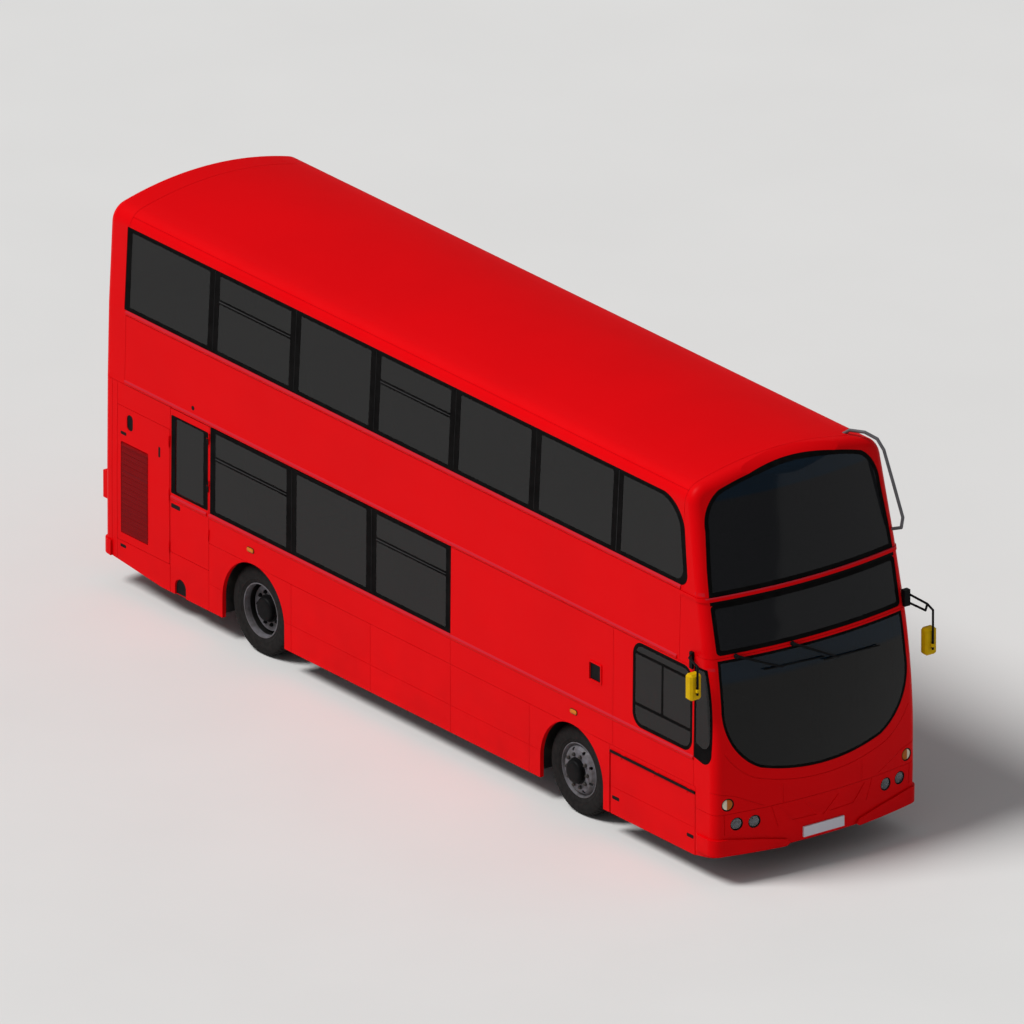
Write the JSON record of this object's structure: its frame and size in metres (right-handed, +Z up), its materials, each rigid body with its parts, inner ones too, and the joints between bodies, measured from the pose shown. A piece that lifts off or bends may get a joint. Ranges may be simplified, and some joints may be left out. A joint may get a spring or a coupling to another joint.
{
  "type": "double decker bus",
  "caption": "Two-axle double decker bus with hollow decks, swinging doors and lids, steering front wheels and twin rear wheels.",
  "frame": {"origin": "on the ground at mid length and mid width, under the body", "axes": "+X forward, +Y to the nearside (left), +Z up"},
  "size_m": [10.593, 3.04, 4.295],
  "materials": {
    "body_red": "gloss paint",
    "window_glass": "tinted",
    "windscreen_glass": "laminated",
    "black_frame": "matt",
    "floor_grey": "vinyl",
    "seat_moquette": "woven",
    "cab_black": "moulded",
    "chassis_black": "satin",
    "axle_iron": "painted",
    "tyre": "matt",
    "wheel_grey": "satin",
    "mirror_yellow": "satin",
    "tube_grey": "satin",
    "lamp_lens": "clear",
    "rear_lamp_lens": "clear",
    "plate_white": "satin"
  },
  "bodies": {
    "bus_body": {"lower_side_panels": "body_red", "upper_side_panels": "body_red", "roof": "body_red", "front_dome": "body_red", "front_panels": "body_red", "front_bumper": "body_red", "rear_panels": "body_red", "rear_bumper": "body_red", "window_frames": "black_frame", "side_glass": "window_glass", "windscreen_upper": "windscreen_glass", "windscreen_lower": "windscreen_glass", "destination_glass": "windscreen_glass", "lower_floor": "floor_grey", "wheel_boxes": "floor_grey", "upper_floor": "floor_grey", "staircase": "floor_grey", "lower_seats": "seat_moquette", "upper_seats": "seat_moquette", "driver_seat": "seat_moquette", "cab_fittings": "cab_black", "chassis_frame": "chassis_black", "front_axle": "axle_iron", "rear_axle": "axle_iron", "engine": "axle_iron", "mirror_heads": "mirror_yellow", "mirror_arms": "cab_black", "branch_deflector": "tube_grey", "wipers": "cab_black", "front_lamps": "lamp_lens", "rear_lamps": "rear_lamp_lens", "number_plates": "plate_white"},
    "front_left_knuckle": {"front_left_knuckle": "axle_iron"},
    "front_left_wheel": {"front_left_tyre": "tyre", "front_left_rim": "wheel_grey"},
    "rear_left_wheels": {"rear_left_tyres": "tyre", "rear_left_rims": "wheel_grey"},
    "front_right_knuckle": {"front_right_knuckle": "axle_iron"},
    "front_right_wheel": {"front_right_tyre": "tyre", "front_right_rim": "wheel_grey"},
    "rear_right_wheels": {"rear_right_tyres": "tyre", "rear_right_rims": "wheel_grey"},
    "emergency_door": {"emergency_door": "body_red", "emergency_door_glass": "window_glass"},
    "engine_side_door": {"engine_side_door": "body_red"},
    "engine_cover": {"engine_cover": "body_red"},
    "skirt_flap": {"skirt_flap": "body_red"},
    "entrance_door_front": {"entrance_door_front": "black_frame", "entrance_door_front_glass": "window_glass"},
    "entrance_door_rear": {"entrance_door_rear": "black_frame", "entrance_door_rear_glass": "window_glass"},
    "steering_wheel": {"steering_wheel": "cab_black"}
  },
  "joints": [
    {"name": "front_left_steer", "type": "hinge", "parent": "bus_body", "child": "front_left_knuckle", "pos_m": [2.745, 0.9, 0.478], "axis": [0, 0, 1], "range_deg": [-40, 40]},
    {"name": "front_left_roll", "type": "hinge", "parent": "front_left_knuckle", "child": "front_left_wheel", "pos_m": [2.745, 1.0625, 0.478], "axis": [0, 1, 0], "continuous": true},
    {"name": "rear_left_roll", "type": "hinge", "parent": "bus_body", "child": "rear_left_wheels", "pos_m": [-2.655, 0.90375, 0.478], "axis": [0, 1, 0], "continuous": true},
    {"name": "front_right_steer", "type": "hinge", "parent": "bus_body", "child": "front_right_knuckle", "pos_m": [2.745, -0.9, 0.478], "axis": [0, 0, 1], "range_deg": [-40, 40]},
    {"name": "front_right_roll", "type": "hinge", "parent": "front_right_knuckle", "child": "front_right_wheel", "pos_m": [2.745, -1.0625, 0.478], "axis": [0, 1, 0], "continuous": true},
    {"name": "rear_right_roll", "type": "hinge", "parent": "bus_body", "child": "rear_right_wheels", "pos_m": [-2.655, -0.90375, 0.478], "axis": [0, 1, 0], "continuous": true},
    {"name": "emergency_door_swing", "type": "hinge", "parent": "bus_body", "child": "emergency_door", "pos_m": [-3.4175, -1.281, 1.485], "axis": [0, 0, 1], "range_deg": [0, 100]},
    {"name": "engine_side_door_swing", "type": "hinge", "parent": "bus_body", "child": "engine_side_door", "pos_m": [-4.0925, -1.281, 1.2875], "axis": [0, 0, 1], "range_deg": [0, 100]},
    {"name": "skirt_flap_lift", "type": "hinge", "parent": "bus_body", "child": "skirt_flap", "pos_m": [4.1, -1.281, 0.9195], "axis": [-1, 0, 0], "range_deg": [0, 90]},
    {"name": "engine_cover_lift", "type": "hinge", "parent": "bus_body", "child": "engine_cover", "pos_m": [-5.236, 0, 2.024], "axis": [0, 1, 0], "range_deg": [0, 80]},
    {"name": "entrance_door_front_swing", "type": "hinge", "parent": "bus_body", "child": "entrance_door_front", "pos_m": [4.693, 1.2475, 1.296], "axis": [0, 0, 1], "range_deg": [0, 85]},
    {"name": "entrance_door_rear_swing", "type": "hinge", "parent": "bus_body", "child": "entrance_door_rear", "pos_m": [3.552, 1.2475, 1.296], "axis": [0, 0, -1], "range_deg": [0, 85]},
    {"name": "steering_wheel_turn", "type": "hinge", "parent": "bus_body", "child": "steering_wheel", "pos_m": [4.42, -0.72, 1.23], "axis": [-0.5, 0, 0.866], "range_deg": [-720, 720]}
  ],
  "couplings": [
    {"joint": "front_right_steer", "follows": "front_left_steer", "ratio": 1},
    {"joint": "steering_wheel_turn", "follows": "front_left_steer", "ratio": 17.5}
  ]
}
